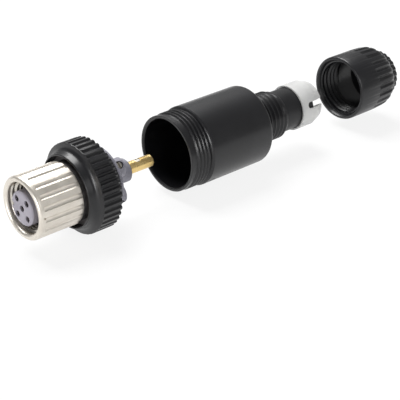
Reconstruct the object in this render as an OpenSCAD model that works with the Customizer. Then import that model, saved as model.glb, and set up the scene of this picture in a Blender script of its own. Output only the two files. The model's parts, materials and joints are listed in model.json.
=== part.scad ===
// M12 cable connector, female, five contacts, screw terminals.
// The pieces lie on one axis, X, drawn apart in the order in which they go together.
// X = 0 is the mouth of the nut's M12 thread, where the mating half enters.
// Thread ridges are left off: external threads show their root, internal ones too.

/* [Coupling nut] */
// Thickness of the nut's wall outside its thread
nut_wall = 1.5; // [1.3:0.05:2]
// Length of the nut along the axis
nut_l = 11.7; // [11:0.1:14]
// Major diameter of the M12 internal thread
thread_d = 12; // [11.8:0.1:12.2]
// Thickness of the web that bears on the carrier
nut_web = 1.7; // [1:0.1:2.2]
// Number of finger flutes round the nut
nut_flutes = 18; // [12:1:24]
// Depth of a finger flute
flute_depth = 0.35; // [0.2:0.05:0.6]
// Radius of the cutter that makes a flute
flute_cut_r = 0.75; // [0.6:0.05:1]
// Plain band left behind the rounded lip
nut_band = 0.55; // [0.3:0.05:1.5]
// Radius of the small dot drilled in the band
dot_r = 0.28; // [0.2:0.02:0.4]

/* [Contact carrier] */
// Diameter of the barrel that enters the mating half
barrel_d = 8.2; // [8:0.05:8.4]
// Distance of the barrel face behind the nut face
barrel_set = 0.2; // [0:0.1:1]
// Diameter of the shoulder that the nut pulls on
shoulder_d = 10.9; // [10.6:0.1:11.4]
// Thickness of that shoulder
shoulder_t = 1.5; // [1:0.1:2]
// Diameter of the shaft that the nut turns on
shaft_d = 9.7; // [9.2:0.1:10]
// Square spacing of the four outer contacts
contact_sq = 3.75; // [3.6:0.05:3.9]
// Diameter of the contact holes in the face
face_hole_d = 1.5; // [1.3:0.1:1.6]
// Width of the coding keyway
key_w = 1.2; // [0.8:0.1:1.4]
// Length of the coding keyway
key_l = 6; // [3:0.5:7]

/* [Terminal block] */
// Diameter of the collar behind the nut
collar_d = 14.2; // [13.4:0.1:15]
// Length of the collar
collar_l = 2.5; // [2:0.1:4]
// Diameter of the flange clamped in the union ring
flange_d = 18.6; // [18.2:0.1:18.8]
// Thickness of the flange
flange_t = 1; // [0.8:0.1:2]
// Diameter of the land in front of the seal
land_d = 15.8; // [15.2:0.1:16.4]
// Length of the land in front of the seal
land_l = 4.7; // [4.4:0.1:7]
// Diameter of the shoulder behind the seal
seal_shoulder_d = 16.2; // [15.6:0.1:16.6]
// Thickness of the shoulder behind the seal
seal_shoulder_t = 0.7; // [0.5:0.1:1.2]
// Distance of the terminals from the axis
terminal_r = 4.7; // [4.5:0.1:4.9]
// Outside diameter of a terminal lobe
lobe_d = 4.6; // [4.3:0.1:4.8]
// Length of the terminal lobes
lobe_l = 2.6; // [2.4:0.1:4]
// Diameter of the tower round the centre contact
tower_d = 5.6; // [4.6:0.1:5.8]
// Length of the tower
tower_l = 4.1; // [2:0.1:6]
// Thickness of the wall behind the terminals
back_wall = 0.75; // [0.5:0.05:1.2]

/* [Contacts] */
// Diameter of a contact stem
stem_d = 1.8; // [1.5:0.1:1.9]
// Bore that takes the mating pin
pin_bore_d = 1; // [0.8:0.05:1.05]
// Depth of that bore
pin_bore_l = 6; // [4:0.5:8]
// Width of the spring slit in a socket
slit_w = 0.22; // [0.15:0.01:0.3]
// Diameter of an outer terminal
terminal_d = 3.2; // [2.8:0.1:3.4]
// Diameter of the wire holes
wire_d = 1.8; // [1.4:0.1:2]
// Diameter of the centre barrel
centre_d = 3; // [2.7:0.1:3.2]
// Length of the centre barrel
centre_l = 11.4; // [8:0.1:13]
// Diameter of the clamp screws
screw_d = 1.5; // [1.2:0.1:1.6]
// Length of an outer clamp screw
screw_l = 1.7; // [1.5:0.1:1.8]
// Length of the clamp screw in the centre barrel
centre_screw_l = 1.1; // [0.9:0.1:1.2]
// Travel of a clamp screw onto the wire
screw_travel = 0.7; // [0.5:0.05:0.75]

/* [Seals] */
// Section of the seal round the barrel
mating_seal_w = 1.24; // [1:0.04:1.4]
// Section of the seal in the terminal block's groove
body_seal_w = 1.44; // [1.2:0.04:1.5]
// Diameter of the cable seal
cable_seal_d = 10.76; // [10.4:0.02:11]
// Length of the cable seal
cable_seal_l = 10.4; // [9:0.1:10.8]
// Bore of the cable seal
cable_seal_bore = 6.6; // [5:0.1:8]

/* [Union ring] */
// Room for the housing's thread between the flange and the ring
ring_room = 0.65; // [0.5:0.05:1]
// Thickness of the ring's wall with its ribs
ring_wall = 0.95; // [0.85:0.05:1.4]
// Length of the ring
ring_l = 7.8; // [7:0.1:10]
// Diameter of the front bore
ring_bore_d = 17; // [16.4:0.1:17.6]
// Thickness of the front collar
ring_collar_t = 0.35; // [0.3:0.05:0.7]
// Length of the front collar
ring_collar_l = 0.9; // [0.5:0.1:1.2]
// Number of ribs
ring_ribs = 40; // [30:1:44]
// Depth of the grooves between the ribs
ring_groove = 0.36; // [0.2:0.02:0.4]
// Gap between the nut and the ring
ring_gap = 0.3; // [0.2:0.1:1]

/* [Housing] */
// Diameter of the housing
body_d = 19.9; // [19.6:0.1:21]
// Length of the housing without the neck
body_l = 26.1; // [24:0.1:34]
// Diameter of the main bore
body_bore_d = 17.2; // [17.1:0.1:17.5]
// Depth of the main bore
body_bore_l = 20.6; // [18:0.1:22]
// Root diameter of the front thread
front_root_d = 18.3; // [18.2:0.1:18.6]
// Length of the front thread
front_thread_l = 5.5; // [4:0.1:6]
// Plain band in front of the front thread
front_band = 0.9; // [0.5:0.1:1.5]
// Distance of the guide ribs from the mouth of the bore
guide_set = 8.5; // [7:0.1:12]
// Radius of the rear shoulder
body_round = 1; // [0.4:0.1:1.6]
// Root diameter of the neck thread
neck_root_d = 11.7; // [11.5:0.1:12]
// Length of the neck
neck_l = 9.2; // [8.6:0.1:12]
// Passage for the cable through the neck
neck_bore_d = 8.6; // [7:0.1:9.4]
// Depth of the pocket for the cable seal
neck_pocket_l = 7; // [6.9:0.1:8]

/* [Clamp cage] */
// Diameter of the cage
cage_d = 11.9; // [11.7:0.1:12.6]
// Length of the cage
cage_l = 7.2; // [6.6:0.1:8]
// Length of the closed ring of the cage
cage_ring_l = 1.9; // [1.4:0.1:2.6]
// Depth of the seat for the cable seal
cage_seat_l = 4.1; // [3:0.1:4.6]
// Bore of the cage behind the seal
cage_bore_d = 8.8; // [8:0.1:9.4]
// Number of clamping fingers
fingers = 3; // [3:1:6]
// Width of the slits between the fingers
finger_slit = 1.6; // [0.8:0.1:2]

/* [Gland cap] */
// Diameter of the cap
cap_d = 17; // [16.4:0.1:18]
// Length of the cap
cap_l = 16.4; // [16:0.1:17.2]
// Diameter of the threaded bore at its root
cap_bore_d = 13.9; // [13.6:0.1:14.2]
// Diameter of the cable outlet
outlet_d = 9.6; // [8.6:0.1:10.4]
// Thickness of the wall round the cable outlet
cap_wall = 1.1; // [0.8:0.1:1.5]
// Diameter of the serrated rear collar
cap_collar_d = 13.4; // [13:0.1:14]
// Length of the serrated rear collar
cap_collar_l = 2; // [1.2:0.1:2.4]
// Plain length in front of the grip grooves
cap_plain_l = 6.9; // [5:0.1:9]
// Number of grip grooves
cap_grooves = 24; // [16:1:30]
// Depth of a grip groove
cap_groove_depth = 0.42; // [0.2:0.02:0.6]

/* [Layout] */
// Distance by which the housing is drawn off the carrier
housing_gap = 26.1; // [26:0.5:60]
// Distance by which the cage is drawn off the neck
cage_gap = 5.2; // [0.5:0.1:5.4]
// Distance by which the cap is drawn off the cage
cap_gap = 27.1; // [20:0.1:60]

/* [Fits] */
// Radial clearance of a turning fit
turn_c = 0.08; // [0.03:0.01:0.1]
// Clearance of fixed pieces to their seats
seat_c = 0.05; // [0.02:0.01:0.08]
// Play of a piece along the axis
end_c = 0.15; // [0.05:0.05:0.3]

/* [Hidden] */
round_n = 72;
eps = 0.01;
chamfer = 0.3;
nut_d = thread_d + 2 * nut_wall;

// stations of the front group
lip_r = nut_wall / 2;
nut_end_x = nut_l - lip_r;
web_x = nut_end_x - nut_web;
barrel_x = barrel_set - lip_r;
shoulder_x = web_x - end_c - shoulder_t;
block_x = nut_end_x + 0.2;
flange_x = block_x + collar_l;
land_x = flange_x + flange_t;
groove_x = land_x + land_l;
groove_w = body_seal_w + 0.16;
groove_r = seal_shoulder_d / 2 - 1.1;
lobe_x = groove_x + groove_w + seal_shoulder_t;
back_x = lobe_x + lobe_l;
core_x = back_x - 0.3;
tower_x = back_x + tower_l;
socket_x = lobe_x - 4.05;
terminal_x0 = socket_x + seat_c;
terminal_x1 = back_x - back_wall - seat_c;
screw_x = lobe_x + lobe_l / 2;
contact_x = barrel_x + 0.5;
centre_x = back_x + 0.3 + seat_c;
centre_screw_x = tower_x + 3.4;
contact_r = contact_sq / sqrt(2);
web_w = 1.3;
// a clamp screw runs in until its rim would meet the wall of the wire hole
screw_reach = sqrt(pow(wire_d / 2, 2) - pow(screw_d / 2, 2)) - 0.05;
screw_up = screw_travel - screw_reach;

// stations of the union ring
ring_x = nut_end_x + ring_gap;
ring_wall_x = flange_x - seat_c;
ring_root_r = flange_d / 2 + ring_room;
ring_d = 2 * (ring_root_r + ring_wall);
ring_collar_d = ring_bore_d + 2 * ring_collar_t;
rib_x = ring_wall_x + 0.25;

// stations of the housing
body_x = land_x + seat_c + housing_gap;
body_step_x = body_x + front_band + front_thread_l;
neck_x = body_x + body_l;
neck_end_x = neck_x + neck_l;
pocket_r = cable_seal_d / 2 + 0.07;

// stations of the rear group
cage_x = neck_end_x + seat_c + cage_gap;
cage_end_x = cage_x + cage_l;
seal_stop_x = cage_x + cage_seat_l;
seal_x0 = seal_stop_x - seat_c - cable_seal_l;
cap_shut_x = neck_end_x + seat_c + cage_l + end_c + cap_wall - cap_l;
cap_x = cap_shut_x + cage_gap + cap_gap;
cap_end_x = cap_x + cap_l;

function arc(cx, cr, r, a0, a1, n = 8) =
    [for (i = [0:n]) let (a = a0 + (a1 - a0) * i / n) [cx + r * cos(a), cr + r * sin(a)]];

// a profile of [x, radius] points turned round the X axis
module turned(pts) {
    rotate([0, 90, 0])
        rotate_extrude($fn = round_n)
            polygon([for (p = pts) [p[1], p[0]]]);
}

// a round bar along X from x0 to x1
module bar(x0, x1, r, r2 = -1) {
    translate([x0, 0, 0])
        rotate([0, 90, 0])
            cylinder(r1 = r, r2 = r2 < 0 ? r : r2, h = x1 - x0, $fn = 48);
}

// copies of the children turned round the X axis
module around(n, phase = 0) {
    for (i = [0:n - 1])
        rotate([phase + 360 / n * i, 0, 0])
            children();
}

// a round bar that points outwards from the axis along +Z
module radial(x, r0, r1, r) {
    translate([x, 0, r0])
        cylinder(r = r, h = r1 - r0, $fn = 32);
}

// a ring of round section at station x
module o_ring(x, r, w) {
    translate([x, 0, 0])
        rotate([0, 90, 0])
            rotate_extrude($fn = round_n)
                translate([r, 0])
                    circle(d = w, $fn = 32);
}

module coupling_nut() {
    color("#cdc6ba")
        difference() {
            turned(concat(
                [[nut_end_x, shaft_d / 2 + turn_c], [nut_end_x, nut_d / 2 - chamfer],
                 [nut_end_x - chamfer, nut_d / 2]],
                arc(0, nut_d / 2 - lip_r, lip_r, 90, 270, 12),
                [[web_x, thread_d / 2], [web_x, shaft_d / 2 + turn_c]]));
            around(nut_flutes, 92)
                translate([0, 0, nut_d / 2 - flute_depth + flute_cut_r])
                    bar(nut_band, nut_end_x + 1, flute_cut_r);
            rotate([88, 0, 0])
                radial(nut_band / 2, nut_d / 2 - 0.3, nut_d / 2 + 1, dot_r);
        }
}

// the stems and terminals of the contacts, swollen by c where they are cut out of a moulding
module outer_contact_body(c) {
    translate([0, 0, contact_r])
        bar(contact_x - c, terminal_x0 + 1, stem_d / 2 + c);
    translate([0, 0, terminal_r])
        bar(terminal_x0 - c, terminal_x1 + c, terminal_d / 2 + c);
    translate([terminal_x0 - c, -web_w / 2 - c, contact_r])
        cube([1 + 2 * c, web_w + 2 * c, terminal_r - contact_r]);
}

module centre_contact_body(c) {
    bar(contact_x - c, centre_x + 0.1, stem_d / 2 + c);
}

module contact_carrier() {
    color("#9a96a6")
        difference() {
            turned([[barrel_x, 0], [barrel_x, barrel_d / 2 - 0.25],
                [barrel_x + 0.25, barrel_d / 2], [shoulder_x, barrel_d / 2],
                [shoulder_x, shoulder_d / 2], [shoulder_x + shoulder_t, shoulder_d / 2],
                [shoulder_x + shoulder_t, shaft_d / 2], [socket_x, shaft_d / 2], [socket_x, 0]]);
            around(4, 45) {
                outer_contact_body(seat_c);
                translate([0, 0, contact_r])
                    bar(barrel_x - 1, contact_x, face_hole_d / 2);
            }
            centre_contact_body(seat_c);
            bar(barrel_x - 1, contact_x, face_hole_d / 2);
            // coding keyway, round at its bottom
            translate([barrel_x - eps, barrel_d / 2 - 0.35, 0])
                bar(0, key_l, key_w / 2);
            translate([barrel_x - eps, barrel_d / 2 - 0.35, -key_w / 2])
                cube([key_l, 1, key_w]);
        }
}

module terminal_block() {
    r_rim = collar_d / 2;
    color("#8c8998")
        difference() {
            union() {
                turned([[block_x, shaft_d / 2 + seat_c], [block_x, r_rim - 0.2],
                    [block_x + 0.2, r_rim], [flange_x, r_rim], [flange_x, flange_d / 2 - 0.15],
                    [flange_x + 0.15, flange_d / 2], [land_x - 0.15, flange_d / 2],
                    [land_x, flange_d / 2 - 0.15], [land_x, land_d / 2], [groove_x, land_d / 2],
                    [groove_x, groove_r], [groove_x + groove_w, groove_r],
                    [groove_x + groove_w, seal_shoulder_d / 2 - 0.15],
                    [groove_x + groove_w + 0.15, seal_shoulder_d / 2],
                    [lobe_x - 0.15, seal_shoulder_d / 2], [lobe_x, seal_shoulder_d / 2 - 0.15],
                    [lobe_x, terminal_r], [core_x, terminal_r], [core_x, tower_d / 2],
                    [tower_x - 0.25, tower_d / 2], [tower_x, tower_d / 2 - 0.25],
                    [tower_x, centre_d / 2 + 0.3], [centre_x - seat_c, centre_d / 2 + 0.3],
                    [centre_x - seat_c, stem_d / 2 + seat_c], [socket_x, stem_d / 2 + seat_c],
                    [socket_x, shaft_d / 2 + seat_c]]);
                around(4, 45)
                    translate([0, 0, terminal_r])
                        bar(lobe_x - seal_shoulder_t / 2, back_x, lobe_d / 2);
            }
            around(4, 45) {
                outer_contact_body(seat_c);
                // wire funnel
                translate([0, 0, terminal_r]) {
                    bar(terminal_x1, back_x + eps, wire_d / 2);
                    bar(back_x - 0.4, back_x + eps, wire_d / 2, wire_d / 2 + 0.4);
                }
                // screwdriver access
                radial(screw_x, terminal_r, terminal_r + lobe_d, screw_d / 2 + 0.2);
            }
        }
}

module outer_contact(k) {
    color("#d8b45e")
        rotate([45 + 90 * k, 0, 0])
            difference() {
                outer_contact_body(0);
                translate([0, 0, contact_r]) {
                    bar(contact_x - 1, contact_x + pin_bore_l, pin_bore_d / 2);
                    bar(contact_x - eps, contact_x + 0.2, pin_bore_d / 2 + 0.2, pin_bore_d / 2);
                    translate([contact_x - 1, -stem_d, -slit_w / 2])
                        cube([pin_bore_l, 2 * stem_d, slit_w]);
                }
                translate([0, 0, terminal_r])
                    bar(terminal_x0 + 1, terminal_x1 + 1, wire_d / 2);
                radial(screw_x, terminal_r, terminal_r + terminal_d, screw_d / 2 + seat_c);
            }
}

module centre_contact() {
    end_x = centre_x + centre_l;
    color("#dcb963")
        difference() {
            union() {
                centre_contact_body(0);
                turned([[centre_x, 0], [centre_x, centre_d / 2], [end_x - 0.35, centre_d / 2],
                    [end_x, centre_d / 2 - 0.35], [end_x, 0]]);
            }
            bar(contact_x - 1, contact_x + pin_bore_l, pin_bore_d / 2);
            bar(contact_x - eps, contact_x + 0.2, pin_bore_d / 2 + 0.2, pin_bore_d / 2);
            translate([contact_x - 1, -stem_d, -slit_w / 2])
                cube([pin_bore_l, 2 * stem_d, slit_w]);
            bar(centre_screw_x - 1.6, end_x + 1, wire_d / 2);
            bar(end_x - 0.2, end_x + eps, wire_d / 2, wire_d / 2 + 0.2);
            radial(centre_screw_x, 0, centre_d, screw_d / 2 + seat_c);
        }
}

// a slotted clamp screw of length l that starts at radius r0
module clamp_screw(x, r0, l) {
    difference() {
        radial(x, r0, r0 + l, screw_d / 2);
        translate([x - 0.15, -screw_d, r0 + l - 0.35])
            cube([0.3, 2 * screw_d, 1]);
    }
}

module outer_screw(k) {
    color("#b9b4a8")
        rotate([45 + 90 * k, 0, 0])
            clamp_screw(screw_x, terminal_r + screw_up, screw_l);
}

module centre_screw() {
    color("#7a6a48")
        clamp_screw(centre_screw_x, screw_up, centre_screw_l);
}

module mating_seal() {
    color("#1b1b1d")
        o_ring(shoulder_x - mating_seal_w / 2 - seat_c / 2,
            barrel_d / 2 + 0.03 + mating_seal_w / 2, mating_seal_w);
}

module body_seal() {
    color("#161617")
        o_ring(groove_x + groove_w / 2, groove_r + 0.08 + body_seal_w / 2, body_seal_w);
}

module union_ring() {
    r = ring_d / 2;
    flare = r - 0.35 - ring_collar_d / 2;
    end = ring_x + ring_l;
    color("#26262a")
        difference() {
            turned(concat(
                [[ring_x, ring_bore_d / 2], [ring_x, ring_collar_d / 2 - 0.1],
                 [ring_x + 0.15, ring_collar_d / 2 + 0.05],
                 [ring_x + ring_collar_l, ring_collar_d / 2 + 0.15]],
                [for (p = arc(ring_x + ring_collar_l, r - 0.35, flare - 0.15, 270, 360, 8))
                    [ring_x + ring_collar_l
                        + (p[0] - ring_x - ring_collar_l) / (flare - 0.15)
                        * (rib_x - ring_x - ring_collar_l - 0.3), p[1]]],
                [[rib_x, r], [end - 0.2, r], [end, r - 0.2], [end, ring_root_r + 0.2],
                 [end - 0.25, ring_root_r], [ring_wall_x, ring_root_r],
                 [ring_wall_x, ring_bore_d / 2]]));
            around(ring_ribs)
                translate([0, 0, r + 0.12])
                    bar(rib_x + 0.35, end + 1, ring_groove + 0.12);
            // moulding recess in the front flare
            rotate([150, 0, 0])
                radial(ring_x + ring_collar_l + 0.6, ring_collar_d / 2 + 0.1, r + 1, 0.5);
        }
}

module housing() {
    r = body_d / 2;
    front = body_x;
    bore = body_bore_d / 2;
    thread_r = front_root_d / 2;
    bore_end = body_x + body_bore_l;
    floor_x = neck_end_x - neck_pocket_l;
    color("#242427")
        difference() {
            turned(concat(
                [[front, bore + 0.3], [front, thread_r + 0.2], [front + 0.1, thread_r + 0.3],
                 [front + front_band, thread_r + 0.3], [front + front_band + 0.2, thread_r],
                 [body_step_x - 0.35, thread_r], [body_step_x, r - 0.25], [body_step_x + 0.25, r]],
                arc(neck_x - body_round, r - body_round, body_round, 90, 0, 8),
                [[neck_x, neck_root_d / 2], [neck_end_x - 0.4, neck_root_d / 2],
                 [neck_end_x, neck_root_d / 2 - 0.2], [neck_end_x, pocket_r],
                 [floor_x, pocket_r], [floor_x, neck_bore_d / 2],
                 [neck_x - 1.4, neck_bore_d / 2], [bore_end, bore], [front + 0.3, bore]]));
            // shallow oblong mark on the side
            rotate([44, 0, 0])
                translate([body_step_x + 1.75, -r, 0])
                    rotate([0, -26, 0]) hull()
                        for (dx = [-0.6, 0.6])
                            translate([dx, 0, 0])
                                rotate([90, 0, 0])
                                    cylinder(d = 0.55, h = 0.4, center = true, $fn = 24);
        }
    // guide ribs in the bore
    color("#242427")
        intersection() {
            bar(body_x + guide_set, bore_end - 1, bore + 0.2);
            for (a = [0, 180])
                rotate([a, 0, 0])
                    translate([body_x + guide_set, -1, bore - 0.25])
                        cube([bore_end - body_x - guide_set - 1, 2, 1]);
        }
}

module cable_seal() {
    color("#1d1d20")
        difference() {
            turned([[seal_x0, cable_seal_d / 2 - 0.3], [seal_x0 + 0.3, cable_seal_d / 2],
                [seal_x0 + cable_seal_l, cable_seal_d / 2], [seal_x0 + cable_seal_l, 0],
                [seal_x0, 0]]);
            bar(seal_x0 - 1, seal_x0 + cable_seal_l + 1, cable_seal_bore / 2);
        }
}

module clamp_cage() {
    r = cage_d / 2;
    taper = 0.8;
    taper_l = 2.3;
    slit_x = cage_x + cage_ring_l + finger_slit / 2;
    color("#ecece8")
        difference() {
            turned([[cage_x, pocket_r], [cage_x, r - 0.15], [cage_x + 0.15, r],
                [cage_end_x - taper_l, r], [cage_end_x, r - taper],
                [cage_end_x, cage_bore_d / 2 + 0.2], [cage_end_x - 0.2, cage_bore_d / 2],
                [seal_stop_x, cage_bore_d / 2], [seal_stop_x, pocket_r]]);
            around(fingers, 72) {
                translate([slit_x, -finger_slit / 2, 3])
                    cube([cage_l, finger_slit, r + 1]);
                radial(slit_x, 3, r + 1, finger_slit / 2);
            }
            // shallow moulding mark on a finger
            rotate([132, 0, 0])
                radial(slit_x + 0.4, r - 0.12, r + 1, 0.4);
        }
}

module gland_cap() {
    r = cap_d / 2;
    rc = cap_collar_d / 2;
    bore = cap_bore_d / 2;
    collar_x = cap_end_x - cap_collar_l;
    taper_x = collar_x - 1.5;
    color("#28282b")
        difference() {
            turned([[cap_x, r - 0.75], [cap_x, r - 0.35], [cap_x + 0.35, r], [taper_x, r],
                [collar_x, rc + 0.3], [collar_x, rc], [cap_end_x - 0.2, rc],
                [cap_end_x, rc - 0.2], [cap_end_x, outlet_d / 2 + 0.3],
                [cap_end_x - 0.3, outlet_d / 2], [cap_end_x - cap_wall, outlet_d / 2],
                [cap_end_x - cap_wall, outlet_d / 2 + 1.1],
                [cap_end_x - cap_wall - 2.5, bore],
                [cap_x + 1.1, bore], [cap_x + 0.9, bore + 0.35], [cap_x + 0.4, bore + 0.5]]);
            around(cap_grooves, 7.5)
                translate([0, 0, r - cap_groove_depth + 0.6])
                    bar(cap_x + cap_plain_l, collar_x + 1, 0.6);
            around(cap_grooves, 0)
                translate([0, 0, rc + 0.1])
                    bar(collar_x + 0.6, cap_end_x + 1, 0.4);
        }
}

coupling_nut();
contact_carrier();
terminal_block();
outer_contact(0);  // contact_1
outer_contact(1);  // contact_2
outer_contact(2);  // contact_3
outer_contact(3);  // contact_4
centre_contact();  // contact_centre
outer_screw(0);  // terminal_screw_1
outer_screw(1);  // terminal_screw_2
outer_screw(2);  // terminal_screw_3
outer_screw(3);  // terminal_screw_4
centre_screw();  // terminal_screw_centre
mating_seal();
body_seal();
union_ring();
housing();
cable_seal();
clamp_cage();
gland_cap();
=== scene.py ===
import json
import math

import bmesh
import bpy
from mathutils import Matrix, Vector


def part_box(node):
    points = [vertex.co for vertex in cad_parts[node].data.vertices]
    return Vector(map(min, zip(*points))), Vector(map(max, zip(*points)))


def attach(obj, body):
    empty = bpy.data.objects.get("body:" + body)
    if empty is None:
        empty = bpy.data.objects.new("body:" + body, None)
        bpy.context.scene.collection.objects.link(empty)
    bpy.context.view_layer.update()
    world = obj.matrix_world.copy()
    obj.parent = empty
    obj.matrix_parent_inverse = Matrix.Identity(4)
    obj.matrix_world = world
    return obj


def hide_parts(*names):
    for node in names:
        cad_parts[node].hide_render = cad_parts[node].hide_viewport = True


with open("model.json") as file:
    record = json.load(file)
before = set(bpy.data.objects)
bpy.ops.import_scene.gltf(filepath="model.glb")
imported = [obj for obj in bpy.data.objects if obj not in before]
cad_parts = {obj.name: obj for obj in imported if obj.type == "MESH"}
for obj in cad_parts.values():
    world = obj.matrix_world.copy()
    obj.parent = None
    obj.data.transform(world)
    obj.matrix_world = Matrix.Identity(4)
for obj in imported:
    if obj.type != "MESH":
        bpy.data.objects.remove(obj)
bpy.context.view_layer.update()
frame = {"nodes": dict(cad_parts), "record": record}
cadNodes = frame["nodes"]


def newFinish(name):
    finish = bpy.data.materials.new(name)
    finish.use_nodes = True
    tree = finish.node_tree
    tree.nodes.clear()
    shader = tree.nodes.new("ShaderNodeBsdfPrincipled")
    output = tree.nodes.new("ShaderNodeOutputMaterial")
    tree.links.new(shader.outputs["BSDF"], output.inputs["Surface"])
    return finish, tree, shader


def addNode(tree, kind, **values):
    node = tree.nodes.new(kind)
    for key, value in values.items():
        if key in node.inputs:
            node.inputs[key].default_value = value
        else:
            setattr(node, key, value)
    return node


def objectPoint(tree, stretch=(1, 1, 1)):
    # the point in the part's own frame, squeezed or stretched along each axis
    place = addNode(tree, "ShaderNodeTexCoord")
    mapping = addNode(tree, "ShaderNodeMapping", Scale=stretch)
    tree.links.new(place.outputs["Object"], mapping.inputs["Vector"])
    return mapping.outputs["Vector"]


def speckle(tree, point, scale, detail=3, roughness=0.55):
    noise = addNode(tree, "ShaderNodeTexNoise", Scale=scale, Detail=detail, Roughness=roughness)
    tree.links.new(point, noise.inputs["Vector"])
    return noise.outputs["Fac"]


def spread(tree, value, low, high, fromLow=0.3, fromHigh=0.7):
    # the value brought to the range low..high
    ramp = addNode(tree, "ShaderNodeMapRange")
    ramp.inputs["From Min"].default_value = fromLow
    ramp.inputs["From Max"].default_value = fromHigh
    ramp.inputs["To Min"].default_value = low
    ramp.inputs["To Max"].default_value = high
    tree.links.new(value, ramp.inputs["Value"])
    return ramp.outputs["Result"]


def blendColours(tree, value, dark, light):
    mix = addNode(tree, "ShaderNodeMix", data_type="RGBA")
    colours = [socket for socket in mix.inputs if socket.type == "RGBA"]
    colours[0].default_value = (*dark, 1)
    colours[1].default_value = (*light, 1)
    tree.links.new(value, mix.inputs["Factor"])
    return [socket for socket in mix.outputs if socket.type == "RGBA"][0]


def relief(tree, value, depth, strength, under=None):
    bump = addNode(tree, "ShaderNodeBump", Strength=strength, Distance=depth)
    tree.links.new(value, bump.inputs["Height"])
    if under is not None:
        tree.links.new(under, bump.inputs["Normal"])
    return bump.outputs["Normal"]


def softEdge(tree, radius):
    bevel = addNode(tree, "ShaderNodeBevel", Radius=radius, samples=6)
    return bevel.outputs["Normal"]


nickel = {
    "dark": (0.66, 0.61, 0.54), "light": (0.78, 0.735, 0.66),
    "roughLow": 0.32, "roughHigh": 0.38, "turningScale": 9000, "turningDepth": 0.000002,
    "turningStrength": 0.2, "cloudScale": 260, "edge": 0.00004, "metal": 0.80,
}


def paintedShadeBefore(tree, colour, start, end, shadeTone):
    # painted shade: the colour gives way to a dark shade tone towards the mating end
    along = addNode(tree, "ShaderNodeSeparateXYZ")
    tree.links.new(objectPoint(tree), along.inputs[0])
    inside = spread(tree, along.outputs["X"], 1, 0, start, end)
    mix = addNode(tree, "ShaderNodeMix", data_type="RGBA")
    colours = [socket for socket in mix.inputs if socket.type == "RGBA"]
    colours[1].default_value = (*shadeTone, 1)
    tree.links.new(colour, colours[0])
    tree.links.new(inside, mix.inputs["Factor"])
    return [socket for socket in mix.outputs if socket.type == "RGBA"][0]


def moulding(name, spec):
    finish, tree, shader = newFinish(name)
    point = objectPoint(tree)
    grain = speckle(tree, point, spec["grainScale"], 3)
    cloud = speckle(tree, point, spec["cloudScale"], 3)
    colour = blendColours(tree, spread(tree, cloud, 0, 1), spec["dark"], spec["light"])
    if "paintedShade" in spec:
        # painted shade: the part that lies under the nut and the ring is darkened where their shade falls
        colour = paintedShadeBefore(tree, colour, spec["paintedShadeEnd"] * 0.98, spec["paintedShadeEnd"], spec["paintedShade"])
    tree.links.new(colour, shader.inputs["Base Color"])
    tree.links.new(spread(tree, grain, spec["roughLow"], spec["roughHigh"]), shader.inputs["Roughness"])
    grainNormal = relief(tree, grain, spec["grainDepth"], spec["grainStrength"], softEdge(tree, spec["edge"]))
    tree.links.new(grainNormal, shader.inputs["Normal"])
    shader.inputs["Specular IOR Level"].default_value = spec["gloss"]
    if "skin" in spec:
        # the smoother skin of the moulding, which mirrors only at a shallow angle
        shader.inputs["Coat Weight"].default_value = spec["skin"]
        shader.inputs["Coat Roughness"].default_value = spec["skinRough"]
    if "under" in spec:
        shader.inputs["Subsurface Weight"].default_value = spec["under"]
        shader.inputs["Subsurface Radius"].default_value = spec["underReach"]
    return finish


carrierPlastic = {
    "dark": (0.25, 0.235, 0.272), "light": (0.32, 0.30, 0.345), "grainScale": 5200, "cloudScale": 190,
    "roughLow": 0.42, "roughHigh": 0.58, "grainDepth": 0.00001, "grainStrength": 0.35, "gloss": 0.45,
    "edge": 0.0001,
}
blockPlastic = {
    "dark": (0.19, 0.186, 0.22), "light": (0.25, 0.245, 0.285),
    # the painted shade tone of the collar that lies under the nut and the ring
    "paintedShade": (0.055, 0.050, 0.050), "paintedShadeEnd": 0.0140,
    "grainScale": 4800, "cloudScale": 170,
    "roughLow": 0.42, "roughHigh": 0.58, "grainDepth": 0.00001, "grainStrength": 0.35, "gloss": 0.45,
    "edge": 0.0001,
}
blackPlastic = {
    "dark": (0.0042, 0.0042, 0.0054), "light": (0.0075, 0.0075, 0.0092), "grainScale": 4200, "cloudScale": 130,
    "roughLow": 0.34, "roughHigh": 0.48, "grainDepth": 0.000012, "grainStrength": 0.4, "gloss": 0.30,
    "skin": 0.38, "skinRough": 0.22, "edge": 0.00006,
}
whitePlastic = {
    "dark": (0.50, 0.50, 0.495), "light": (0.60, 0.60, 0.59), "grainScale": 4800, "cloudScale": 150,
    "roughLow": 0.34, "roughHigh": 0.46, "grainDepth": 0.000008, "grainStrength": 0.3, "gloss": 0.5,
    "edge": 0.00012,
    "under": 0.15, "underReach": (0.0006, 0.0006, 0.0005),
}
sealRubber = {
    "dark": (0.006, 0.006, 0.0068), "light": (0.013, 0.013, 0.0145), "grainScale": 2600, "cloudScale": 220,
    "roughLow": 0.34, "roughHigh": 0.48, "grainDepth": 0.00001, "grainStrength": 0.3, "gloss": 0.35,
    "edge": 0.0001,
}
goldPlate = {
    # painted shade on the contacts towards the socket mouths, and where it ends
    "dark": (0.74, 0.52, 0.20), "light": (0.92, 0.70, 0.32), "paintedRecessShade": (0.030, 0.022, 0.020), "paintedRecessShadeEnd": 0.0045,
    "roughLow": 0.20, "roughHigh": 0.34, "turningScale": 8000, "turningDepth": 0.000004,
    "turningStrength": 0.35, "cloudScale": 420, "edge": 0.00005,
}
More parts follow.
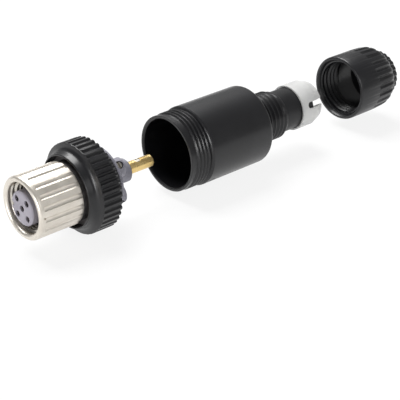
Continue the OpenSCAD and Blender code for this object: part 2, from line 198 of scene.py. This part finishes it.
# a darker, more mirror-like copy of the nickel for the thread inside the nut; its darker tone is painted shade
shadedThreadNickel = {
    "dark": (0.40, 0.37, 0.33), "light": (0.74, 0.70, 0.64),
    "roughLow": 0.14, "roughHigh": 0.24, "turningScale": 9000, "turningDepth": 0.000004,
    "turningStrength": 0.35, "cloudScale": 420, "edge": 0.00002,
}
screwSteel = {
    "dark": (0.42, 0.39, 0.34), "light": (0.60, 0.57, 0.51),
    "roughLow": 0.26, "roughHigh": 0.44, "turningScale": 7000, "turningDepth": 0.000004,
    "turningStrength": 0.35, "cloudScale": 420, "edge": 0.00004,
}


turningStretch = (1, 0.02, 0.02)


def turnedMetal(name, spec):
    finish, tree, shader = newFinish(name)
    turned = speckle(tree, objectPoint(tree, turningStretch), spec["turningScale"], 2)
    cloud = speckle(tree, objectPoint(tree), spec["cloudScale"], 4)
    colour = blendColours(tree, spread(tree, cloud, 0, 1), spec["dark"], spec["light"])
    if "paintedRecessShade" in spec:
        # painted shade: the contacts darken towards the socket mouths, where the recess in the insert lies in
        # shade
        colour = paintedShadeBefore(tree, colour, spec["paintedRecessShadeEnd"] * 0.7, spec["paintedRecessShadeEnd"], spec["paintedRecessShade"])
    tree.links.new(colour, shader.inputs["Base Color"])
    tree.links.new(spread(tree, cloud, spec["roughLow"], spec["roughHigh"]), shader.inputs["Roughness"])
    edges = softEdge(tree, spec["edge"])
    turnedNormal = relief(tree, turned, spec["turningDepth"], spec["turningStrength"], edges)
    tree.links.new(turnedNormal, shader.inputs["Normal"])
    shader.inputs["Metallic"].default_value = spec.get("metal", 1)
    return finish


finishes = {
    "nickel": turnedMetal("nickelPlate", nickel),
    "insert_plastic": moulding("carrierMoulding", carrierPlastic),
    "block_plastic": moulding("blockMoulding", blockPlastic),
    "gold": turnedMetal("goldPlate", goldPlate),
    "screw_metal": turnedMetal("screwSteel", screwSteel),
    "black_plastic": moulding("blackMoulding", blackPlastic),
    "seal_rubber": moulding("sealRubber", sealRubber),
    "white_plastic": moulding("whiteMoulding", whitePlastic),
}

shadedThreadFinish = turnedMetal("nickelThreadShaded", shadedThreadNickel)
slotOfNode = {part["node"]: part["material_slot"] for part in frame["record"]["subparts"]}
for nodeName, piece in cadNodes.items():
    piece.data.materials.clear()
    piece.data.materials.append(finishes[slotOfNode[nodeName]])
print("finishes are on", len(cadNodes), "solids")


def asPiece(mesh, name, sharpAngle, body, slotName):
    bmesh.ops.recalc_face_normals(mesh, faces=mesh.faces)
    data = bpy.data.meshes.new(name)
    mesh.to_mesh(data)
    mesh.free()
    for face in data.polygons:
        face.use_smooth = True
    data.set_sharp_from_angle(angle=math.radians(sharpAngle))
    piece = bpy.data.objects.new(name, data)
    bpy.context.collection.objects.link(piece)
    data.materials.append(finishes[slotName])
    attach(piece, body)
    return piece


threadForm = {
    # how far the ridge's foot is sunk, the turns it fades in over, and its least height
    "sunk": 0.00004, "fadeTurns": 0.35, "leastHeight": 0.02, "sharpAngle": 28,
    # share of the pitch and share of the height, from foot to foot
    "section": ((-0.32, 0.12), (-0.06, 1), (0.06, 1), (0.32, 0.12)), "foot": 0.42,
}


def threadRidge(name, spec, node, body, slotName):
    # one ridge of tapering section wound round the X axis, fading out at both ends
    pitch, root, crest = spec["pitch"], spec["root"], spec["crest"]
    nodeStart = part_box(node)[0].x
    sunk = threadForm["sunk"] if crest > root else -threadForm["sunk"]
    turns = (spec["end"] - spec["start"]) / pitch
    steps = int(turns * spec["stepsPerTurn"])
    mesh = bmesh.new()
    before = None
    for i in range(steps + 1):
        turn = turns * i / steps
        fade = min(1, turn / threadForm["fadeTurns"], (turns - turn) / threadForm["fadeTurns"])
        height = (crest - root) * max(fade, threadForm["leastHeight"])
        x = nodeStart + spec["start"] + pitch * turn
        angle = 2 * math.pi * turn
        section = [(-threadForm["foot"], root - sunk)]
        section += [(dx, root + share * height) for dx, share in threadForm["section"]]
        section += [(threadForm["foot"], root - sunk)]
        ring = []
        for dx, r in section:
            ring.append(mesh.verts.new((x + dx * pitch, r * math.sin(angle), r * math.cos(angle))))
        if before:
            for a in range(len(ring)):
                b = (a + 1) % len(ring)
                mesh.faces.new((before[a], before[b], ring[b], ring[a]))
        else:
            mesh.faces.new(ring)
        before = ring
    mesh.faces.new(list(reversed(before)))
    return asPiece(mesh, name, threadForm["sharpAngle"], body, slotName)


# stations are measured from the mating-side end of each thread's own solid
nutThread = {
    "root": 0.0060, "crest": 0.00548, "pitch": 0.0010,
    "start": 0.00135, "end": 0.00775, "stepsPerTurn": 96,
}
housingThread = {
    "root": 0.00915, "crest": 0.0096, "pitch": 0.00105,
    "start": 0.00140, "end": 0.00590, "stepsPerTurn": 120,
}
neckThread = {
    "root": 0.00585, "crest": 0.0063, "pitch": 0.0013,
    "start": 0.02680, "end": 0.03460, "stepsPerTurn": 96,
}
ringThread = {
    "root": 0.00995, "crest": 0.0097, "pitch": 0.00125,
    "start": 0.00315, "end": 0.00705, "stepsPerTurn": 120,
}
capThread = {
    "root": 0.00695, "crest": 0.0065, "pitch": 0.0013,
    "start": 0.00190, "end": 0.00750, "stepsPerTurn": 96,
}

nutRidge = threadRidge("nut_thread", nutThread, "coupling_nut", "nut", "nickel")
# the thread inside the nut takes the darker nickel copy, whose darker tone is painted shade
nutRidge.data.materials[0] = shadedThreadFinish
threadRidge("housing_thread", housingThread, "housing", "housing", "black_plastic")
threadRidge("neck_thread", neckThread, "housing", "housing", "black_plastic")
threadRidge("ring_thread", ringThread, "union_ring", "ring", "black_plastic")
threadRidge("cap_thread", capThread, "gland_cap", "cap", "black_plastic")
print("threads are cut")


# the deep grip ribs of the union ring and the gland cap
unionRing = {
    "ribs": 40, "samplesPerRib": 12, "depth": 0.00050, "grooveShare": 0.62, "turn": 4.5,
    "grooveRound": 0.8, "sharpAngle": 32,
    # station from the mating-side end of the solid, radius and how much of the groove is cut there
    "outline": (
        (0.00000, 0.00850, 0), (0.00000, 0.00875, 0), (0.00015, 0.00890, 0), (0.00090, 0.00900, 0),
        (0.00121, 0.00903, 0), (0.00151, 0.00915, 0), (0.00179, 0.00936, 0), (0.00202, 0.00966, 0),
        (0.00219, 0.01003, 0), (0.00230, 0.01055, 0), (0.00239, 0.01080, 0), (0.00253, 0.01090, 0.1),
        (0.00270, 0.01090, 0.65), (0.00295, 0.01090, 1), (0.00535, 0.01090, 1), (0.00760, 0.01090, 1),
        (0.00774, 0.01085, 0.95), (0.00780, 0.01072, 0.8), (0.00780, 0.01020, 0), (0.00755, 0.00995, 0),
        (0.00235, 0.00995, 0), (0.00235, 0.00850, 0),
    ),
}


def ribbedShell(name, spec, node, body, slotName):
    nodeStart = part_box(node)[0].x
    count = spec["ribs"] * spec["samplesPerRib"]
    mesh = bmesh.new()
    rings = []
    for x, radius, share in spec["outline"]:
        ring = []
        for k in range(count):
            along = (k % spec["samplesPerRib"]) / spec["samplesPerRib"] - 0.5  # 0 in the middle of a groove
            inGroove = abs(along) < spec["grooveShare"] / 2
            cut = math.cos(math.pi * along / spec["grooveShare"]) ** spec["grooveRound"] if inGroove else 0
            r = radius - spec["depth"] * share * cut
            angle = 2 * math.pi * k / count + math.radians(spec["turn"])
            ring.append(mesh.verts.new((nodeStart + x, r * math.sin(angle), r * math.cos(angle))))
        rings.append(ring)
    for i, ring in enumerate(rings):
        following = rings[(i + 1) % len(rings)]
        for k in range(count):
            nextK = (k + 1) % count
            mesh.faces.new((ring[k], ring[nextK], following[nextK], following[k]))
    piece = asPiece(mesh, name, spec["sharpAngle"], body, slotName)
    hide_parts(node)
    return piece


glandCap = {
    "ribs": 24, "samplesPerRib": 16, "depth": 0.00046, "grooveShare": 0.55, "turn": 0,
    "grooveRound": 0.8, "sharpAngle": 32,
    # plain mouth, grip grooves that run on to the tapered end, serrated collar, then the inside
    "outline": (
        (0.00000, 0.00775, 0), (0.00000, 0.00815, 0), (0.00012, 0.00838, 0), (0.00040, 0.00850, 0),
        (0.00680, 0.00850, 0), (0.00700, 0.00850, 0.4), (0.00735, 0.00850, 1), (0.00950, 0.00844, 1),
        (0.01150, 0.00832, 1), (0.01240, 0.00818, 1), (0.01300, 0.00795, 0.9), (0.01360, 0.00755, 0.6),
        (0.01405, 0.00705, 0.2), (0.01415, 0.00680, 0), (0.01425, 0.00635, 0), (0.01440, 0.00630, 0),
        (0.01465, 0.00630, 0.8), (0.01622, 0.00624, 0.8), (0.01640, 0.00600, 0.2), (0.01640, 0.00505, 0),
        (0.01615, 0.00480, 0), (0.01530, 0.00480, 0), (0.01530, 0.00530, 0), (0.01440, 0.00555, 0),
        (0.01230, 0.00695, 0), (0.00110, 0.00695, 0), (0.00090, 0.00730, 0), (0.00040, 0.00745, 0),
    ),
}

ribbedShell("ribbed_ring", unionRing, "union_ring", "ring", "black_plastic")
ribbedShell("ribbed_cap", glandCap, "gland_cap", "cap", "black_plastic")
print("ring and cap have their ribs")


studio = {
    "floorHeight": -0.0112, "floorSize": 4.0, "whiteShare": 0.86,
    "skyNear": 0.10, "skyFar": 0.36, "keyPower": 6.0, "fillPower": 1.4, "sidePower": 0.9,
}


def whiteFloor():
    finish = bpy.data.materials.new("whiteFloor")
    finish.use_nodes = True
    tree = finish.node_tree
    tree.nodes.clear()
    paper = addNode(tree, "ShaderNodeBsdfDiffuse", Color=(0.9, 0.9, 0.9, 1))
    glow = addNode(tree, "ShaderNodeEmission", Color=(1, 1, 1, 1), Strength=1.0)
    path = addNode(tree, "ShaderNodeLightPath")
    seen = addNode(tree, "ShaderNodeMath", operation="ADD", use_clamp=True)
    through = addNode(tree, "ShaderNodeMath", operation="ADD", use_clamp=True)
    share = addNode(tree, "ShaderNodeMath", operation="MULTIPLY")
    share.inputs[1].default_value = studio["whiteShare"]
    mix = addNode(tree, "ShaderNodeMixShader")
    output = addNode(tree, "ShaderNodeOutputMaterial")
    tree.links.new(path.outputs["Is Camera Ray"], seen.inputs[0])
    tree.links.new(path.outputs["Is Glossy Ray"], seen.inputs[1])
    tree.links.new(seen.outputs[0], through.inputs[0])
    tree.links.new(path.outputs["Is Transmission Ray"], through.inputs[1])
    tree.links.new(through.outputs[0], share.inputs[0])
    tree.links.new(share.outputs[0], mix.inputs["Fac"])
    tree.links.new(paper.outputs[0], mix.inputs[1])
    tree.links.new(glow.outputs[0], mix.inputs[2])
    tree.links.new(mix.outputs[0], output.inputs["Surface"])
    return finish


bpy.ops.mesh.primitive_plane_add(size=studio["floorSize"], location=(0.058, 0, studio["floorHeight"]))
floor = bpy.context.object
floor.name = "floor"
floor.data.materials.append(whiteFloor())


def skyDome():
    world = bpy.data.worlds.new("skyDome")
    bpy.context.scene.world = world
    world.use_nodes = True
    tree = world.node_tree
    tree.nodes.clear()
    path = addNode(tree, "ShaderNodeLightPath")
    # brighter towards the cable end, darker before the mating end
    place = addNode(tree, "ShaderNodeTexCoord")
    along = addNode(tree, "ShaderNodeSeparateXYZ")
    light = addNode(tree, "ShaderNodeBackground", Color=(1, 1, 1, 1))
    tree.links.new(place.outputs["Generated"], along.inputs[0])
    strength = spread(tree, along.outputs["X"], studio["skyNear"], studio["skyFar"], -0.9, 0.8)
    tree.links.new(strength, light.inputs["Strength"])
    seen = addNode(tree, "ShaderNodeBackground", Color=(1, 1, 1, 1), Strength=1.0)
    mix = addNode(tree, "ShaderNodeMixShader")
    output = addNode(tree, "ShaderNodeOutputWorld")
    tree.links.new(path.outputs["Is Camera Ray"], mix.inputs["Fac"])
    tree.links.new(light.outputs[0], mix.inputs[1])
    tree.links.new(seen.outputs[0], mix.inputs[2])
    tree.links.new(mix.outputs[0], output.inputs["Surface"])


skyDome()


def softBox(name, place, aim, size, power):
    data = bpy.data.lights.new(name, "AREA")
    data.shape = "RECTANGLE"
    data.size, data.size_y = size
    data.energy = power
    lamp = bpy.data.objects.new(name, data)
    bpy.context.collection.objects.link(lamp)
    lamp.location = place
    lamp.rotation_euler = (Vector(aim) - Vector(place)).to_track_quat("-Z", "Y").to_euler()
    return lamp


middle = (0.058, 0, 0)
softBox("keyBox", (0.08, 0.30, 0.50), middle, (0.5, 0.4), studio["keyPower"])
softBox("fillBox", (-0.50, -0.12, 0.06), middle, (0.3, 0.12), studio["fillPower"])
softBox("sideBox", (0.05, -0.60, 0.30), middle, (0.5, 0.4), studio["sidePower"])

view = {
    "place": (-0.13625, -0.2117, 0.1343), "lens": 116.2,
    "right": (0.7482, -0.6635, 0.0), "up": (0.3115, 0.3513, 0.8830), "ahead": (0.5858, 0.6606, -0.4695),
}
cameraData = bpy.data.cameras.new("camera")
cameraData.lens = view["lens"]
cameraData.sensor_width = 36
cameraData.clip_start = 0.01
camera = bpy.data.objects.new("camera", cameraData)
bpy.context.collection.objects.link(camera)
turn = Matrix((view["right"], view["up"], [-a for a in view["ahead"]])).transposed()
camera.matrix_world = Matrix.Translation(view["place"]) @ turn.to_4x4()
bpy.context.scene.camera = camera
bpy.context.scene.view_settings.view_transform = "Standard"
print("studio is set")
